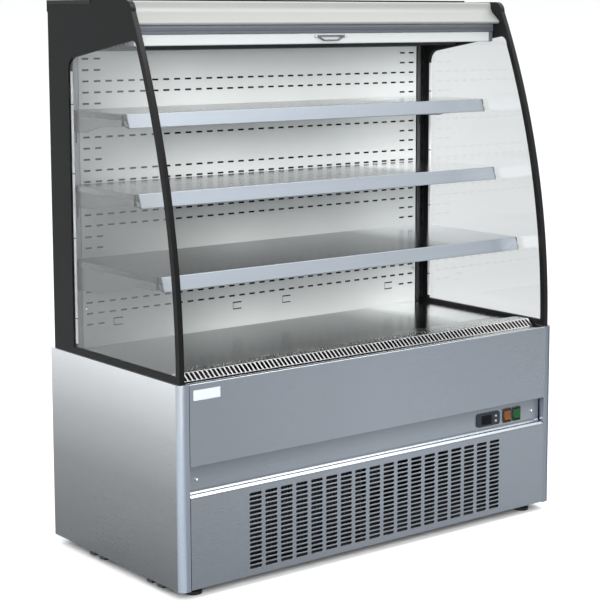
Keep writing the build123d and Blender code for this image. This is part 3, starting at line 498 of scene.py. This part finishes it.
# arrows on the two keys
arrow_mat = moulded("key_arrow", (0.72, 0.74, 0.76), 0.5, 0.0)
for nm, dz_, sgn in (("key_up", 6.3, 1), ("key_down", -6.3, -1)):
    c = (346.0 + 23.0, 12.66, 233.5 + dz_)
    tri = [(c[0] - 2.6, c[1], c[2] - 1.6 * sgn), (c[0] + 2.6, c[1], c[2] - 1.6 * sgn), (c[0], c[1], c[2] + 2.2 * sgn)]
    vs = [(X(a), Y(b), Z(d)) for a, b, d in tri] + [(X(a), Y(b + 0.08), Z(d)) for a, b, d in tri]
    fs = [(0, 1, 2), (5, 4, 3), (0, 3, 4, 1), (1, 4, 5, 2), (2, 5, 3, 0)]
    mesh_obj("arrow_" + nm, vs, fs, arrow_mat, nm)

# ------------------------------------------------------------ floor, world, lights, camera
floor_t = Mat("floor")
fn = floor_t.noise((3, 3, 3), 3, 0.5)
pale = floor_t.ramp(fn, [(0.3, (0.89, 0.89, 0.89)), (0.7, (0.91, 0.91, 0.91))])
pale = floor_t.mix(floor_t.remap(floor_t.axis(1), 1.5, 6.0, 0.0, 1.0, True), pale, (0.97, 0.97, 0.97))
# Painted shade seen only in reflections: the floor darker near and right of the cabinet, lighter far to the left.
floor_shade_in_reflections = floor_t.ramp(floor_t.remap(floor_t.axis(0), -1.9, -0.45, 0.0, 1.0, True), [(0.0, (0.62, 0.63, 0.64)), (1.0, (0.31, 0.32, 0.335))])
floor_ray = floor_t.nt.nodes.new("ShaderNodeLightPath")
# Painted shade seen through the glass: the floor darker near the cabinet, lighter far behind.
far = floor_t.ramp(floor_t.remap(floor_t.axis(1), 2.5, 8.5, 0.0, 1.0), [(0.0, (0.55, 0.555, 0.56)), (0.46, (0.70, 0.705, 0.71)), (1.0, (0.90, 0.905, 0.91))])
through = floor_t.mix(floor_ray.outputs["Is Transmission Ray"], floor_shade_in_reflections, far)
floor_t.set(base=floor_t.mix(floor_ray.outputs["Is Camera Ray"], through, pale), rough=0.8, spec=0.0)
me = bpy.data.meshes.new("floor")
S = 9.0
# a seamless sweep: flat, then rising gently far behind on every side
rings, seg = [], 96
for r, h in ((0.0, 0.0), (3.0, 0.0), (6.0, 0.0), (7.5, 0.12), (9.0, 0.6), (10.2, 1.6), (11.0, 3.2)):
    rings.append([(r * math.cos(2 * math.pi * i / seg), r * math.sin(2 * math.pi * i / seg), h) for i in range(seg)] if r else [(0, 0, 0)])
vv, ff = [], []
vv.append((0, 0, 0))
for ring in rings[1:]:
    vv.extend(ring)
for i in range(seg):
    ff.append((0, 1 + i, 1 + (i + 1) % seg))
for k in range(len(rings) - 2):
    a0, b0 = 1 + k * seg, 1 + (k + 1) * seg
    for i in range(seg):
        j = (i + 1) % seg
        ff.append((a0 + i, b0 + i, b0 + j, a0 + j))
me.from_pydata(vv, [], ff)
me.update()
for p in me.polygons:
    p.use_smooth = True
floor = bpy.data.objects.new("floor", me)
floor.location.z = -0.0004
me.materials.append(floor_t.m)
bpy.context.scene.collection.objects.link(floor)

world = bpy.data.worlds.new("studio")
bpy.context.scene.world = world
world.use_nodes = True
nt = world.node_tree
nt.nodes.clear()
wo = nt.nodes.new("ShaderNodeOutputWorld")
tc = nt.nodes.new("ShaderNodeTexCoord")
sep = nt.nodes.new("ShaderNodeSeparateXYZ")
nt.links.new(tc.outputs["Generated"], sep.inputs[0])
def band(src, lo, hi, a, b):
    n = nt.nodes.new("ShaderNodeMapRange")
    n.interpolation_type = "SMOOTHSTEP"
    n.inputs["From Min"].default_value = lo
    n.inputs["From Max"].default_value = hi
    n.inputs["To Min"].default_value = a
    n.inputs["To Max"].default_value = b
    nt.links.new(src, n.inputs["Value"])
    return n.outputs[0]


def arith(op, a, b):
    n = nt.nodes.new("ShaderNodeMath")
    n.operation = op
    for i, v in enumerate((a, b)):
        if isinstance(v, float):
            n.inputs[i].default_value = v
        else:
            nt.links.new(v, n.inputs[i])
    return n.outputs[0]


# a grey room in front, a bright wall behind and to the right, a soft ceiling
front_low = band(sep.outputs[2], -0.05, 0.55, 0.50, 1.0)
back_wall = arith("MULTIPLY", band(sep.outputs[1], 0.15, 0.55, 0.0, 1.0), band(sep.outputs[0], -0.35, 0.35, 0.15, 1.0))
left_wall = arith("MULTIPLY", band(sep.outputs[0], -0.75, -0.35, 1.0, 0.0), band(sep.outputs[1], 0.1, 0.5, 0.0, 1.0))
high_right = arith("MULTIPLY", band(sep.outputs[2], 0.45, 0.70, 0.0, 1.0), band(sep.outputs[0], 0.2, 0.5, 0.0, 1.0))
strength = arith("ADD", arith("ADD", front_low, arith("MULTIPLY", high_right, 0.9)), arith("ADD", arith("MULTIPLY", back_wall, 1.3), arith("MULTIPLY", left_wall, 0.8)))
cr = nt.nodes.new("ShaderNodeValToRGB")
cr.color_ramp.elements[0].position = 0.0
cr.color_ramp.elements[0].color = (0.95, 0.985, 1.0, 1)
cr.color_ramp.elements[1].position = 1.0
cr.color_ramp.elements[1].color = (1.0, 1.0, 1.0, 1)
nt.links.new(sep.outputs[2], cr.inputs[0])
bg1 = nt.nodes.new("ShaderNodeBackground")
nt.links.new(cr.outputs[0], bg1.inputs[0])
nt.links.new(strength, bg1.inputs[1])
bg2 = nt.nodes.new("ShaderNodeBackground")
bg2.inputs[0].default_value = (1, 1, 1, 1)
bg2.inputs[1].default_value = 1.0
lp = nt.nodes.new("ShaderNodeLightPath")
mx = nt.nodes.new("ShaderNodeMixShader")
nt.links.new(arith("MAXIMUM", lp.outputs["Is Camera Ray"], lp.outputs["Is Transmission Ray"]), mx.inputs[0])
nt.links.new(bg1.outputs[0], mx.inputs[1])
nt.links.new(bg2.outputs[0], mx.inputs[2])
nt.links.new(mx.outputs[0], wo.inputs[0])


def area(name, loc, target, size, power, color=(1, 1, 1), size_y=None):
    l = bpy.data.lights.new(name, "AREA")
    l.energy = power
    l.color = color
    l.size = size
    if size_y:
        l.shape = "RECTANGLE"
        l.size_y = size_y
    o = bpy.data.objects.new(name, l)
    bpy.context.scene.collection.objects.link(o)
    o.location = loc
    d = Vector(target) - Vector(loc)
    o.rotation_mode = "QUATERNION"
    o.rotation_quaternion = d.to_track_quat("-Z", "Y")
    return o


area("key_front_left", (-2.0, -3.4, 2.0), (0.0, 0.1, 0.75), 2.4, 185, (1, 1, 1), 1.8)
area("top_right", (1.2, -1.5, 3.4), (0.1, 0, 0.6), 2.6, 80, (1, 1, 1), 1.6)
area("fill_left", (-3.8, 0.4, 2.2), (0, 0, 0.8), 1.6, 30, (1, 1, 1), 1.6)

# camera at the photograph's viewing angle, for a 600 x 600 frame
f_px, cx_px, cy_px = 1680.4, 335.0, 240.0
yaw, pitch = math.radians(38.708), math.radians(7.656)
cam_data = bpy.data.cameras.new("camera")
cam = bpy.data.objects.new("camera", cam_data)
bpy.context.scene.collection.objects.link(cam)
cam_data.sensor_width = 36.0
cam_data.lens = 36.0 * f_px / 600.0
cam_data.shift_x = (300.0 - cx_px) / 600.0
cam_data.shift_y = (cy_px - 300.0) / 600.0
cam_data.clip_start = 0.05
cam_data.clip_end = 60.0
cam.location = (X(-2397.3), Y(-2821.4), Z(1194.5))
fwd = Vector((math.sin(yaw) * math.cos(pitch), math.cos(yaw) * math.cos(pitch), -math.sin(pitch)))
cam.rotation_mode = "QUATERNION"
cam.rotation_quaternion = fwd.to_track_quat("-Z", "Y")
bpy.context.scene.camera = cam
bpy.context.scene.view_settings.view_transform = "Standard"
